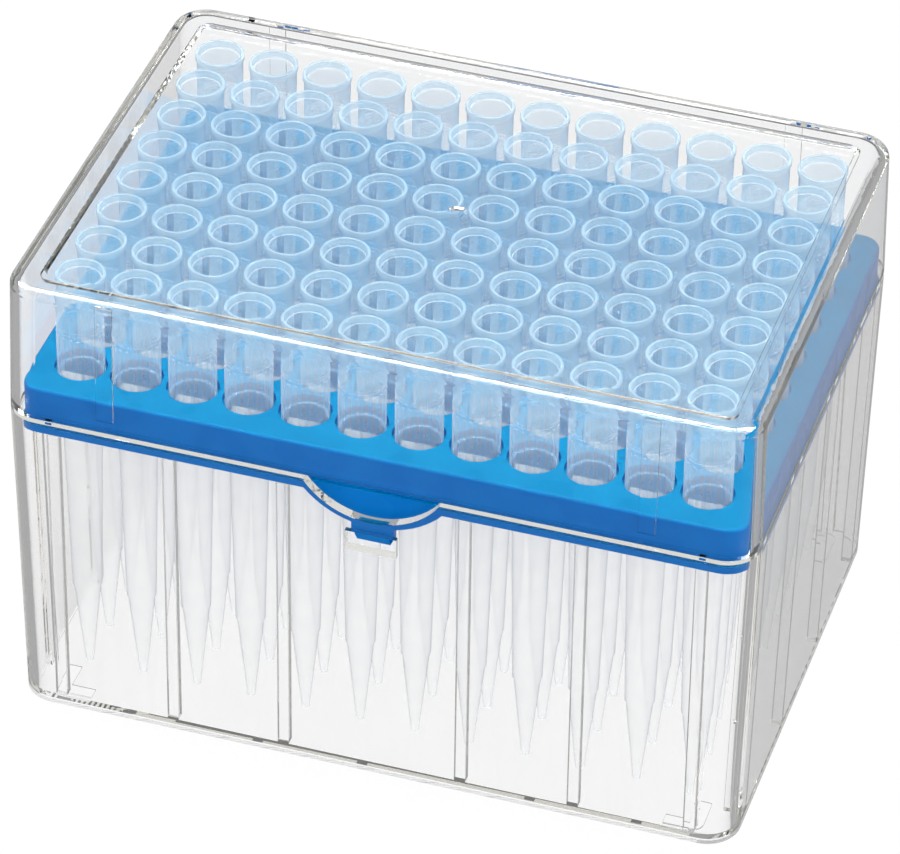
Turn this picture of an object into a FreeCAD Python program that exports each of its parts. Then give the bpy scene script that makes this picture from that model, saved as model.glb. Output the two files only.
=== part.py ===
import FreeCAD, Part
import math
import os

from FreeCAD import Vector

# Box of pipette tips: a clear base, a snap-in rack, 96 tips that hang in the rack, and a
# clear lift-off lid. Millimetres, +Z up. +X runs along the twelve columns, +Y to the back.
# The origin is the middle of the footprint, on the surface that the box stands on.
# Every outer size follows from the tips, the walls and the clearances below.

# ---------------------------------------------------------------- tip grid
COLUMNS = 12
ROWS = 8
PITCH = 9.0
NODES_PER_COLUMN = 2

# ---------------------------------------------------------------- tip
TIP_LENGTH = 73.85
TIP_COLLAR_LENGTH = 17.15        # rim down to the face that rests in the rack
TIP_CONE_LENGTH = 15.4           # the steeper cone at the lower end
TIP_STEP_HEIGHT = 0.4            # the sloping step above that cone
TIP_RIM_R = 3.93
TIP_RIM_HEIGHT = 0.9
TIP_RIM_UNDERCUT_HEIGHT = 0.35
TIP_RIM_CHAMFER = 0.15
TIP_COLLAR_UPPER_R = 3.72
TIP_COLLAR_R = 3.60
TIP_BEAD_HEIGHT = 0.6            # the raised double ring round the collar
TIP_BEAD_DROP = 7.75             # rim down to the ring's upper line
TIP_BEAD_RELIEF = 0.08
TIP_BODY_R = 3.30                # just below the collar
TIP_WAIST_R = 2.35               # above the step
TIP_CONE_R = 2.15                # below the step
TIP_END_R = 0.62
TIP_END_BORE_R = 0.34
TIP_WALL = 0.55
TIP_SOCKET_R = 3.10              # straight bore that the pipette's nozzle enters
TIP_SOCKET_LENGTH = 8.0
TIP_MOUTH_R = 3.45               # countersunk mouth above the socket
TIP_MOUTH_STEP_R = 3.30
TIP_MOUTH_DEPTH = 1.1

# ---------------------------------------------------------------- rack
RACK_END_MARGIN = 7.5            # outermost tip axis to the deck's edge, along X
RACK_SIDE_MARGIN = 8.06          # the same along Y
RACK_HEIGHT = 7.75
RACK_DECK_THICKNESS = 2.0
RACK_EDGE_RADIUS = 0.5
RACK_SKIRT_THICKNESS = 1.3
RACK_LEDGE_WIDTH = 0.4           # the lower skirt stands out this far
RACK_LEDGE_HEIGHT = 1.15
RACK_HOLE_R = 4.1
RACK_SEAT_BORE_R = 3.45
RACK_SEAT_DEPTH = 1.2            # deck top down to the shoulder that carries a tip
RACK_WEB_THICKNESS = 1.2
RACK_WEB_DEPTH = 3.0
TAB_OVERLAP = 1.6                # how far the tab reaches below the notch's edge
LATCH_TOP_HALF_WIDTH = 3.35
LATCH_END_HALF_WIDTH = 2.65
LATCH_KNEE_DROP = 1.0
LATCH_WEDGE_DEPTH = 1.0
LATCH_CATCH_CLEARANCE = 0.15

# ---------------------------------------------------------------- base
BASE_WALL = 1.6
BASE_CLEARANCE = 0.2             # base wall to the rack's lower skirt, at the rim
BASE_CORNER_RADIUS = 5.5
BASE_END_DRAFT = 0.95            # how far each end wall leans in, rim to floor
BASE_SIDE_DRAFT = 0.5            # the same for the front and back walls
FLOOR_THICKNESS = 1.0
UNDERSIDE_RECESS = 0.3
TIP_FLOOR_CLEARANCE = 1.3
SKIRT_INSERT = 2.5               # how deep the rack's skirt sits below the rim
BASE_RIB_WIDTH = 1.8
BASE_RIB_DEPTH = 1.5
FRONT_RIB_OFFSETS = (14.4, 32.6, 51.2)
END_RIB_OFFSETS = (10.8, 32.5)
NOTCH_HALF_WIDTH = 10.8
NOTCH_DEPTH = 5.9
WINDOW_HALF_WIDTH = 4.1
WINDOW_HEIGHT = 3.5
WINDOW_DROP = 2.35               # notch's lowest point down to the window's top edge
NUB_WIDTH = 1.0
NUB_LENGTH = 1.0
NUB_HEIGHT = 0.77
NUB_OFFSET = 51.5
FOOT_END_INSET = 5.5             # base's end face to the foot's outer face
FOOT_SIDE_INSET = 2.9
FOOT_ARM_X = 6.0
FOOT_ARM_Y = 6.6
FOOT_WIDTH = 2.0
FOOT_CORNER_RADIUS = 1.4

# ---------------------------------------------------------------- lid
LID_WALL = 1.4
LID_TOP_THICKNESS = 1.4
LID_TIP_CLEARANCE = 0.8
LID_END_DRAFT = 0.4              # how far each end wall leans in, edge to top
LID_SIDE_DRAFT = 0.63
LID_TOP_EDGE_RADIUS = 1.8
LID_RECESS_DEPTH = 0.69
LID_RECESS_MARGIN = 4.9          # lid's top outline to the recess
LID_RECESS_SLOPE = 0.35
LID_RECESS_CORNER_RADIUS = 1.6
LID_RIB_OFFSET = 42.6
LID_RIB_WIDTH = 2.7
LID_RIB_DEPTH = 0.35
LID_RIB_EDGE_GAP = 1.4           # lid's edge up to the ribs' lower ends
GATE_MARK_R = 1.6
GATE_MARK_DEPTH = 0.4

# ---------------------------------------------------------------- levels
FLOOR_TOP_Z = UNDERSIDE_RECESS + FLOOR_THICKNESS
TIP_END_Z = FLOOR_TOP_Z + TIP_FLOOR_CLEARANCE
TIP_SEAT_Z = TIP_END_Z + TIP_LENGTH - TIP_COLLAR_LENGTH
TIP_TOP_Z = TIP_END_Z + TIP_LENGTH
DECK_TOP_Z = TIP_SEAT_Z + RACK_SEAT_DEPTH
DECK_BOTTOM_Z = DECK_TOP_Z - RACK_DECK_THICKNESS
SKIRT_BOTTOM_Z = DECK_TOP_Z - RACK_HEIGHT
LEDGE_Z = SKIRT_BOTTOM_Z + RACK_LEDGE_HEIGHT
BASE_RIM_Z = SKIRT_BOTTOM_Z + SKIRT_INSERT
LID_EDGE_Z = BASE_RIM_Z + NUB_HEIGHT
RECESS_CEILING_Z = TIP_TOP_Z + LID_TIP_CLEARANCE
RECESS_FLOOR_Z = RECESS_CEILING_Z + LID_TOP_THICKNESS
LID_TOP_Z = RECESS_FLOOR_Z + LID_RECESS_DEPTH
LID_CEILING_Z = LID_TOP_Z - LID_TOP_THICKNESS

# ---------------------------------------------------------------- outlines, as half sizes
DECK_HALF = ((COLUMNS - 1) * PITCH / 2 + RACK_END_MARGIN, (ROWS - 1) * PITCH / 2 + RACK_SIDE_MARGIN)
SKIRT_HALF = tuple(half + RACK_LEDGE_WIDTH for half in DECK_HALF)
RIM_HALF = tuple(half + BASE_CLEARANCE + BASE_WALL for half in SKIRT_HALF)
BASE_BOTTOM_HALF = (RIM_HALF[0] - BASE_END_DRAFT, RIM_HALF[1] - BASE_SIDE_DRAFT)
LID_TOP_HALF = (RIM_HALF[0] - LID_END_DRAFT, RIM_HALF[1] - LID_SIDE_DRAFT)

# ---------------------------------------------------------------- thumb notch
NOTCH_RADIUS = (NOTCH_HALF_WIDTH ** 2 + NOTCH_DEPTH ** 2) / (2 * NOTCH_DEPTH)
NOTCH_CENTRE_Z = BASE_RIM_Z - NOTCH_DEPTH + NOTCH_RADIUS
WINDOW_TOP_Z = BASE_RIM_Z - NOTCH_DEPTH - WINDOW_DROP
TAB_RADIUS = NOTCH_RADIUS + TAB_OVERLAP

OVERRUN = 1.0                    # cutting tools run this far past what they cut


def rounded_outline(half, radius, z):
    """Closed wire of a rectangle with round corners, centred on the Z axis."""
    half_x, half_y = half
    line_x = half_x - radius
    line_y = half_y - radius
    corners = [(line_x, line_y, 0), (-line_x, line_y, 90), (-line_x, -line_y, 180), (line_x, -line_y, 270)]
    arcs = []
    for centre_x, centre_y, start in corners:
        points = []
        for turn in (0, 45, 90):
            angle = math.radians(start + turn)
            points.append(Vector(centre_x + radius * math.cos(angle), centre_y + radius * math.sin(angle), z))
        arcs.append((points, Part.Arc(*points).toShape()))
    edges = []
    for index, (points, arc) in enumerate(arcs):
        following = arcs[(index + 1) % len(arcs)][0]
        edges.append(arc)
        edges.append(Part.makeLine(points[2], following[0]))
    return Part.Wire(edges)


def prism(half, radius, low_z, high_z):
    """Upright block with round vertical corners."""
    face = Part.Face(rounded_outline(half, radius, low_z))
    return face.extrude(Vector(0, 0, high_z - low_z))


def drafted_block(low_half, high_half, radius, low_z, high_z):
    """Block whose four walls lean, with round vertical corners."""
    wires = [rounded_outline(low_half, radius, low_z), rounded_outline(high_half, radius, high_z)]
    return Part.makeLoft(wires, True, True)


def shrink(half, amount):
    """Half sizes of an outline that lies a constant distance inside another."""
    return tuple(value - amount for value in half)


def between(low_half, high_half, low_z, high_z, z):
    """Half sizes of a leaning wall's outline at height z."""
    share = (z - low_z) / (high_z - low_z)
    return tuple(low + (high - low) * share for low, high in zip(low_half, high_half))


def centred_box(centre_x, centre_y, size_x, size_y, low_z, high_z):
    """Plain box placed by the centre of its footprint."""
    corner = Vector(centre_x - size_x / 2, centre_y - size_y / 2, low_z)
    return Part.makeBox(size_x, size_y, high_z - low_z, corner)


def top_edges(solid, z):
    """Edges of a solid that lie flat at height z."""
    return [edge for edge in solid.Edges if edge.BoundBox.ZMin > z - 1e-4 and edge.BoundBox.ZMax < z + 1e-4]


def side_cylinder(radius, centre_z, low_y, high_y):
    """Cylinder that lies along Y above the middle of the box."""
    return Part.makeCylinder(radius, high_y - low_y, Vector(0, low_y, centre_z), Vector(0, 1, 0))


# ---------------------------------------------------------------- base
def base_outline_at(z):
    """Half sizes of the base's outer faces at height z."""
    return between(BASE_BOTTOM_HALF, RIM_HALF, 0, BASE_RIM_Z, z)


def base_cavity(inset, low_z, high_z):
    """Inside of the base, with its walls a given distance inside the outer faces."""
    low_half = shrink(base_outline_at(low_z), inset)
    high_half = shrink(base_outline_at(high_z), inset)
    return drafted_block(low_half, high_half, BASE_CORNER_RADIUS - BASE_WALL, low_z, high_z)


def base_ribs():
    """Upright ribs on the inner walls, whose tops carry the rack's skirt."""
    reach_x = 2 * (RIM_HALF[0] + OVERRUN)
    reach_y = 2 * (RIM_HALF[1] + OVERRUN)
    strips = []
    for offset in FRONT_RIB_OFFSETS:
        for side in (-1, 1):
            strips.append(centred_box(side * offset, 0, BASE_RIB_WIDTH, reach_y, FLOOR_TOP_Z, SKIRT_BOTTOM_Z))
    for offset in END_RIB_OFFSETS:
        for side in (-1, 1):
            strips.append(centred_box(0, side * offset, reach_x, BASE_RIB_WIDTH, FLOOR_TOP_Z, SKIRT_BOTTOM_Z))
    shell = base_cavity(BASE_WALL, FLOOR_TOP_Z, SKIRT_BOTTOM_Z)
    shell = shell.cut(base_cavity(BASE_WALL + BASE_RIB_DEPTH, FLOOR_TOP_Z - OVERRUN, SKIRT_BOTTOM_Z + OVERRUN))
    return shell.common(strips[0].multiFuse(strips[1:]))


def feet():
    """Four L-shaped pads under the floor's corners."""
    outer = (BASE_BOTTOM_HALF[0] - FOOT_END_INSET, BASE_BOTTOM_HALF[1] - FOOT_SIDE_INSET)
    frame = prism(outer, FOOT_CORNER_RADIUS, 0, UNDERSIDE_RECESS)
    frame = frame.cut(centred_box(
        0, 0, 2 * (outer[0] - FOOT_WIDTH), 2 * (outer[1] - FOOT_WIDTH), -OVERRUN, UNDERSIDE_RECESS + OVERRUN))
    frame = frame.cut(centred_box(
        0, 0, 2 * (outer[0] - FOOT_ARM_X), 2 * (outer[1] + OVERRUN), -OVERRUN, UNDERSIDE_RECESS + OVERRUN))
    return frame.cut(centred_box(
        0, 0, 2 * (outer[0] + OVERRUN), 2 * (outer[1] - FOOT_ARM_Y), -OVERRUN, UNDERSIDE_RECESS + OVERRUN))


def nubs():
    """Four small pads on the rim that the lid's edge stands on."""
    middle_y = RIM_HALF[1] - LID_WALL / 2
    pads = []
    for side_x in (-1, 1):
        for side_y in (-1, 1):
            pads.append(centred_box(
                side_x * NUB_OFFSET, side_y * middle_y, NUB_WIDTH, NUB_LENGTH,
                BASE_RIM_Z - OVERRUN, BASE_RIM_Z + NUB_HEIGHT))
    return pads


def make_base():
    """Clear lower box with ribs, thumb notches, latch windows and feet."""
    base = drafted_block(BASE_BOTTOM_HALF, RIM_HALF, BASE_CORNER_RADIUS, 0, BASE_RIM_Z)
    base = base.cut(base_cavity(BASE_WALL, FLOOR_TOP_Z, BASE_RIM_Z + OVERRUN))
    underside = prism(
        shrink(BASE_BOTTOM_HALF, BASE_WALL), BASE_CORNER_RADIUS - BASE_WALL, -OVERRUN, UNDERSIDE_RECESS)
    base = base.cut(underside)
    base = base.multiFuse([base_ribs(), feet()] + nubs())
    reach_y = RIM_HALF[1] + OVERRUN
    base = base.cut(side_cylinder(NOTCH_RADIUS, NOTCH_CENTRE_Z, -reach_y, reach_y))
    window = centred_box(0, 0, 2 * WINDOW_HALF_WIDTH, 2 * reach_y, WINDOW_TOP_Z - WINDOW_HEIGHT, WINDOW_TOP_Z)
    return base.cut(window).removeSplitter()


# ---------------------------------------------------------------- rack
def tip_positions():
    """Grid of tip axes: for each column a list of (x, y) from front to back."""
    columns = []
    for column in range(COLUMNS):
        x = (column - (COLUMNS - 1) / 2) * PITCH
        columns.append([(x, (row - (ROWS - 1) / 2) * PITCH) for row in range(ROWS)])
    return columns


def latch(side):
    """Tab that backs the thumb notch, with the snap latch below it, on one long side."""
    outer_y = SKIRT_HALF[1]
    inner_y = outer_y - RACK_SKIRT_THICKNESS
    tab = side_cylinder(TAB_RADIUS, NOTCH_CENTRE_Z, inner_y, outer_y)
    keep = centred_box(
        0, (inner_y + outer_y) / 2, 2 * TAB_RADIUS, 2 * RACK_SKIRT_THICKNESS,
        NOTCH_CENTRE_Z - TAB_RADIUS - OVERRUN, SKIRT_BOTTOM_Z)
    tab = tab.common(keep)
    root_z = SKIRT_BOTTOM_Z
    knee_z = WINDOW_TOP_Z - LATCH_KNEE_DROP
    end_z = WINDOW_TOP_Z - WINDOW_HEIGHT + LATCH_KNEE_DROP
    outline = [
        Vector(-LATCH_TOP_HALF_WIDTH, inner_y, root_z),
        Vector(LATCH_TOP_HALF_WIDTH, inner_y, root_z),
        Vector(LATCH_TOP_HALF_WIDTH, inner_y, knee_z),
        Vector(LATCH_END_HALF_WIDTH, inner_y, end_z),
        Vector(-LATCH_END_HALF_WIDTH, inner_y, end_z),
        Vector(-LATCH_TOP_HALF_WIDTH, inner_y, knee_z),
    ]
    plate = Part.Face(Part.makePolygon(outline + outline[:1]))
    plate = plate.extrude(Vector(0, RACK_SKIRT_THICKNESS, 0))
    catch_z = WINDOW_TOP_Z - LATCH_CATCH_CLEARANCE
    section = [
        Vector(-LATCH_END_HALF_WIDTH, outer_y - RACK_SKIRT_THICKNESS / 2, catch_z),
        Vector(-LATCH_END_HALF_WIDTH, outer_y + LATCH_WEDGE_DEPTH, catch_z),
        Vector(-LATCH_END_HALF_WIDTH, outer_y, end_z),
        Vector(-LATCH_END_HALF_WIDTH, outer_y - RACK_SKIRT_THICKNESS / 2, end_z),
    ]
    wedge = Part.Face(Part.makePolygon(section + section[:1]))
    wedge = wedge.extrude(Vector(2 * LATCH_END_HALF_WIDTH, 0, 0))
    whole = tab.multiFuse([plate, wedge])
    if side < 0:
        whole.rotate(Vector(0, 0, 0), Vector(0, 0, 1), 180)
    return whole


def rack_webs():
    """Stiffening webs under the deck, midway between the holes."""
    size_x = 2 * (DECK_HALF[0] - RACK_SKIRT_THICKNESS / 2)
    size_y = 2 * (DECK_HALF[1] - RACK_SKIRT_THICKNESS / 2)
    low_z = DECK_BOTTOM_Z - RACK_WEB_DEPTH
    webs = []
    for index in range(1, COLUMNS):
        x = (index - COLUMNS / 2) * PITCH
        webs.append(centred_box(x, 0, RACK_WEB_THICKNESS, size_y, low_z, DECK_BOTTOM_Z))
    for index in range(1, ROWS):
        y = (index - ROWS / 2) * PITCH
        webs.append(centred_box(0, y, size_x, RACK_WEB_THICKNESS, low_z, DECK_BOTTOM_Z))
    return webs


def make_rack():
    """Blue insert: perforated deck, skirt with a ledge, tabs and snap latches."""
    skirt_radius = BASE_CORNER_RADIUS - BASE_WALL - BASE_CLEARANCE
    deck_radius = skirt_radius - RACK_LEDGE_WIDTH
    inner_half = shrink(DECK_HALF, RACK_SKIRT_THICKNESS)
    rack = prism(DECK_HALF, deck_radius, SKIRT_BOTTOM_Z, DECK_TOP_Z)
    rack = rack.makeFillet(RACK_EDGE_RADIUS, top_edges(rack, DECK_TOP_Z))
    rack = rack.fuse(prism(SKIRT_HALF, skirt_radius, SKIRT_BOTTOM_Z, LEDGE_Z))
    rack = rack.cut(prism(
        inner_half, deck_radius - RACK_SKIRT_THICKNESS, SKIRT_BOTTOM_Z - OVERRUN, DECK_BOTTOM_Z))
    rack = rack.multiFuse(rack_webs() + [latch(-1), latch(1)])
    holes = []
    for column in tip_positions():
        for x, y in column:
            bore = Part.makeCylinder(
                RACK_SEAT_BORE_R, DECK_TOP_Z - DECK_BOTTOM_Z + OVERRUN, Vector(x, y, DECK_BOTTOM_Z - OVERRUN))
            seat = Part.makeCylinder(RACK_HOLE_R, RACK_SEAT_DEPTH + OVERRUN, Vector(x, y, TIP_SEAT_Z))
            holes.append(bore.fuse(seat))
    return rack.cut(Part.makeCompound(holes)).removeSplitter()


# ---------------------------------------------------------------- tips
def tip_profile():
    """Tip section as (radius, height above its lower end): up the outside, down the bore."""
    seat = TIP_LENGTH - TIP_COLLAR_LENGTH
    bead_top = TIP_LENGTH - TIP_BEAD_DROP
    bead_low = bead_top - TIP_BEAD_HEIGHT
    rim_low = TIP_LENGTH - TIP_RIM_HEIGHT
    waist = TIP_CONE_LENGTH + TIP_STEP_HEIGHT
    socket_low = TIP_LENGTH - TIP_MOUTH_DEPTH - TIP_SOCKET_LENGTH
    outside = [
        (TIP_END_R, 0),
        (TIP_CONE_R, TIP_CONE_LENGTH),
        (TIP_WAIST_R, waist),
        (TIP_BODY_R, seat),
        (TIP_COLLAR_R, seat),
        (TIP_COLLAR_R, bead_low),
        (TIP_COLLAR_R + TIP_BEAD_RELIEF, bead_low),
        (TIP_COLLAR_R + TIP_BEAD_RELIEF, bead_top),
        (TIP_COLLAR_UPPER_R, rim_low - TIP_RIM_UNDERCUT_HEIGHT),
        (TIP_RIM_R, rim_low),
        (TIP_RIM_R, TIP_LENGTH - TIP_RIM_CHAMFER),
        (TIP_RIM_R - TIP_RIM_CHAMFER, TIP_LENGTH),
    ]
    inside = [
        (TIP_MOUTH_R, TIP_LENGTH),
        (TIP_MOUTH_STEP_R, TIP_LENGTH - TIP_MOUTH_DEPTH),
        (TIP_SOCKET_R, TIP_LENGTH - TIP_MOUTH_DEPTH),
        (TIP_SOCKET_R, socket_low),
        (TIP_BODY_R - TIP_WALL, seat),
        (TIP_WAIST_R - TIP_WALL, waist),
        (TIP_CONE_R - TIP_WALL, TIP_CONE_LENGTH),
        (TIP_END_BORE_R, 0),
    ]
    return outside + inside


def make_tip():
    """One hollow tip, standing on the origin with its axis on Z."""
    points = [Vector(radius, 0, height) for radius, height in tip_profile()]
    face = Part.Face(Part.makePolygon(points + points[:1]))
    return face.revolve(Vector(0, 0, 0), Vector(0, 0, 1), 360)


def tip_groups():
    """Named groups of tips: each column from its front half to its rear half."""
    tip = make_tip()
    names = ("front", "rear")
    rows_each = math.ceil(ROWS / NODES_PER_COLUMN)
    groups = {}
    for column, places in enumerate(tip_positions(), start=1):
        for part in range(NODES_PER_COLUMN):
            solids = []
            for x, y in places[part * rows_each:(part + 1) * rows_each]:
                solids.append(tip.translated(Vector(x, y, TIP_END_Z)))
            groups[f"tips_column_{column:02d}_{names[part]}"] = Part.makeCompound(solids)
    return groups


# ---------------------------------------------------------------- lid
def lid_outline_at(z):
    """Half sizes of the lid's outer faces at height z."""
    return between(RIM_HALF, LID_TOP_HALF, LID_EDGE_Z, LID_TOP_Z, z)


def lid_cavity(inset, low_z, high_z):
    """Inside of the lid, with its walls a given distance inside the outer faces."""
    low_half = shrink(lid_outline_at(low_z), inset)
    high_half = shrink(lid_outline_at(high_z), inset)
    return drafted_block(low_half, high_half, BASE_CORNER_RADIUS - LID_WALL, low_z, high_z)


def lid_ribs():
    """Four shallow ribs inside the long walls, which centre the lid on the rack."""
    low_z = LID_EDGE_Z + LID_RIB_EDGE_GAP
    reach_y = 2 * (RIM_HALF[1] + OVERRUN)
    strips = [centred_box(side * LID_RIB_OFFSET, 0, LID_RIB_WIDTH, reach_y, low_z, LID_CEILING_Z)
              for side in (-1, 1)]
    shell = lid_cavity(LID_WALL, low_z, LID_CEILING_Z)
    shell = shell.cut(lid_cavity(LID_WALL + LID_RIB_DEPTH, low_z - OVERRUN, LID_CEILING_Z + OVERRUN))
    return shell.common(strips[0].fuse(strips[1]))


def make_lid():
    """Clear cover with rounded top edges and a stepped recess in its top."""
    lid = drafted_block(RIM_HALF, LID_TOP_HALF, BASE_CORNER_RADIUS, LID_EDGE_Z, LID_TOP_Z)
    lid = lid.makeFillet(LID_TOP_EDGE_RADIUS, top_edges(lid, LID_TOP_Z))
    cavity = lid_cavity(LID_WALL, LID_EDGE_Z - OVERRUN, LID_CEILING_Z)
    cavity = cavity.makeFillet(LID_TOP_EDGE_RADIUS / 2, top_edges(cavity, LID_CEILING_Z))
    recess_top = shrink(LID_TOP_HALF, LID_RECESS_MARGIN)
    recess_floor = shrink(recess_top, LID_RECESS_SLOPE)
    step_low = shrink(recess_top, -LID_TOP_THICKNESS / 2)
    step = drafted_block(
        shrink(step_low, LID_RECESS_SLOPE), step_low, LID_RECESS_CORNER_RADIUS,
        RECESS_CEILING_Z, LID_CEILING_Z + OVERRUN)
    cavity = cavity.cut(step)
    lid = lid.cut(cavity)
    recess = drafted_block(
        recess_floor, recess_top, LID_RECESS_CORNER_RADIUS, RECESS_FLOOR_Z, LID_TOP_Z)
    recess = recess.fuse(prism(recess_top, LID_RECESS_CORNER_RADIUS, LID_TOP_Z, LID_TOP_Z + OVERRUN))
    lid = lid.cut(recess)
    mark_radius = (GATE_MARK_R ** 2 + GATE_MARK_DEPTH ** 2) / (2 * GATE_MARK_DEPTH)
    mark = Part.makeSphere(mark_radius, Vector(0, 0, RECESS_FLOOR_Z - GATE_MARK_DEPTH + mark_radius))
    lid = lid.cut(mark)
    return lid.fuse(lid_ribs()).removeSplitter()


def main():
    """Build every node and write one STEP file for each."""
    nodes = {"base": make_base(), "rack": make_rack(), "lid": make_lid()}
    nodes.update(tip_groups())
    os.makedirs("parts", exist_ok=True)
    for name, shape in nodes.items():
        shape.exportStep(f"parts/{name}.step")
        box = shape.BoundBox
        print(f"{name}: {len(shape.Solids)} solids, valid {shape.isValid()}, volume {shape.Volume:.1f},"
              f" z {box.ZMin:.2f} to {box.ZMax:.2f}")


main()
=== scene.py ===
import logging
import math
from collections.abc import Sequence
from dataclasses import dataclass, field, replace
from enum import Enum

import bpy
import numpy as np
from mathutils import Matrix, Vector


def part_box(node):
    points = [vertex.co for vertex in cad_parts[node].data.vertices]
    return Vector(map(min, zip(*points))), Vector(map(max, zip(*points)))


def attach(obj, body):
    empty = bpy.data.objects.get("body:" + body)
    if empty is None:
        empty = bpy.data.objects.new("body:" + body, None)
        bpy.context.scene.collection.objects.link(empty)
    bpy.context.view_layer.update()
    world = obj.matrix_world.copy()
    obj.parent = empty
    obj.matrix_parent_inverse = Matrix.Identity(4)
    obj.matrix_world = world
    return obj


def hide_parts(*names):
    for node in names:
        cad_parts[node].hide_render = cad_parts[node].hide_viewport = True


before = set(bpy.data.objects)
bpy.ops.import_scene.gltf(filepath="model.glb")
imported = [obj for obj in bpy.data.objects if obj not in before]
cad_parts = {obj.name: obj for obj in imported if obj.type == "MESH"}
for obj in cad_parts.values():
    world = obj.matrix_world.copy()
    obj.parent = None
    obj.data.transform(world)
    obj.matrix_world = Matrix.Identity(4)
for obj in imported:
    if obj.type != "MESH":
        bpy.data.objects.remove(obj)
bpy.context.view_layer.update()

MM = 0.001

logging.basicConfig(level=logging.INFO, format="%(message)s")
log = logging.getLogger("tip_box")

Colour = tuple[float, float, float]
Point = tuple[float, float, float]
Face = tuple[int, ...]
Tree = bpy.types.NodeTree
Socket = bpy.types.NodeSocket

# Socket numbers of Blender's nodes whose sockets share a name.
MIX_FIRST, MIX_SECOND, MIX_RESULT = 6, 7, 2
COMPARE_REACH = 2

# Middle of a pattern that runs from 0 to 1.
MIDDLE = 0.5
WHITE: Colour = (1.0, 1.0, 1.0)


class Body(Enum):
    """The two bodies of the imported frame."""

    BOX = "box"
    LID = "lid"


class Slot(Enum):
    """Material slots of the record."""

    CLEAR = "clear_plastic"
    RACK = "blue_plastic"
    TIP = "tip_plastic"


# ---------------------------------------------------------------- node helpers
def link(tree: Tree, source: Socket, target: Socket) -> None:
    """Joins an output socket to an input socket."""
    tree.links.new(source, target)


def feed(tree: Tree, target: Socket, value: Socket | float | Colour) -> None:
    """Gives an input socket its value.

    Args:
        tree: Node tree that holds the socket.
        target: Input socket.
        value: Output socket to join to it, number or colour.
    """
    if isinstance(value, tuple):
        target.default_value = (*value, 1.0)
    elif isinstance(value, (int, float)):
        target.default_value = value
    else:
        link(tree, value, target)


def coordinate(tree: Tree, name: str) -> Socket:
    """Adds texture coordinates and returns the socket of the given name."""
    return tree.nodes.new("ShaderNodeTexCoord").outputs[name]


def split(tree: Tree, vector: Socket) -> bpy.types.NodeOutputs:
    """Splits a vector.

    Args:
        tree: Node tree that gets the node.
        vector: Vector to split.

    Returns:
        The sockets X, Y and Z.
    """
    node = tree.nodes.new("ShaderNodeSeparateXYZ")
    link(tree, vector, node.inputs[0])
    return node.outputs


def noise(tree: Tree, vector: Socket, scale: Socket | float, detail: float = 1.0) -> Socket:
    """Adds a noise texture.

    Args:
        tree: Node tree that gets the node.
        vector: Coordinates in metres.
        scale: Cells per metre.
        detail: Octaves.

    Returns:
        The noise value, from 0 to 1.
    """
    node = tree.nodes.new("ShaderNodeTexNoise")
    feed(tree, node.inputs["Scale"], scale)
    feed(tree, node.inputs["Detail"], detail)
    link(tree, vector, node.inputs["Vector"])
    return node.outputs["Fac"]


def math_node(tree: Tree, operation: str, first: Socket | float, second: Socket | float,
              clamp: bool = False) -> Socket:
    """Adds a math node.

    Args:
        tree: Node tree that gets the node.
        operation: Blender's name of the operation.
        first: Socket or number for the first input.
        second: Socket or number for the second input.
        clamp: Keep the result from 0 to 1.

    Returns:
        The node's output socket.
    """
    node = tree.nodes.new("ShaderNodeMath")
    node.operation = operation
    node.use_clamp = clamp
    feed(tree, node.inputs[0], first)
    feed(tree, node.inputs[1], second)
    return node.outputs[0]


def near(tree: Tree, value: Socket, centre: Socket | float, reach: float) -> Socket:
    """Adds a test of how near a value is to another.

    Args:
        tree: Node tree that gets the node.
        value: Value to test.
        centre: Value that it is compared with.
        reach: Largest difference that passes.

    Returns:
        A mask that is 1 within reach of the centre and 0 elsewhere.
    """
    mask = math_node(tree, "COMPARE", value, centre)
    mask.node.inputs[COMPARE_REACH].default_value = reach
    return mask


def mix_colour(tree: Tree, factor: Socket | float, first: Socket | Colour, second: Socket | Colour,
               blend: str = "MIX") -> Socket:
    """Adds a colour mix.

    Args:
        tree: Node tree that gets the node.
        factor: Share of the second colour.
        first: Socket or colour.
        second: Socket or colour.
        blend: Blender's name of the blend mode.

    Returns:
        The mixed colour.
    """
    node = tree.nodes.new("ShaderNodeMix")
    node.data_type = "RGBA"
    node.blend_type = blend
    feed(tree, node.inputs[0], factor)
    feed(tree, node.inputs[MIX_FIRST], first)
    feed(tree, node.inputs[MIX_SECOND], second)
    return node.outputs[MIX_RESULT]


def mix_shaders(tree: Tree, share: Socket, first: Socket, second: Socket, output: bpy.types.Node) -> None:
    """Mixes two shaders into a material's surface.

    Args:
        tree: Node tree that gets the node.
        share: Share of the second shader.
        first: First shader.
        second: Second shader.
        output: The material's output node.
    """
    mixer = tree.nodes.new("ShaderNodeMixShader")
    for target, source in zip(mixer.inputs, (share, first, second)):
        link(tree, source, target)
    link(tree, mixer.outputs[0], output.inputs["Surface"])


@dataclass(frozen=True)
class RampEnd:
    """One end of a colour ramp.

    Attributes:
        value: Value at that end.
        colour: Colour that it gets.
    """

    value: float
    colour: Colour


def ramp(tree: Tree, value: Socket, low: RampEnd, high: RampEnd, interpolation: str = "LINEAR") -> Socket:
    """Adds a colour ramp with two ends.

    Args:
        tree: Node tree that gets the node.
        value: Value that the colour follows.
        low: End with the lower value.
        high: End with the higher value.
        interpolation: Blender's name of the interpolation.

    Returns:
        The colour.
    """
    node = tree.nodes.new("ShaderNodeValToRGB")
    node.color_ramp.interpolation = interpolation
    for element, end in zip(node.color_ramp.elements, (low, high)):
        element.position = end.value
        element.color = (*end.colour, 1.0)
    link(tree, value, node.inputs[0])
    return node.outputs[0]


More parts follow.
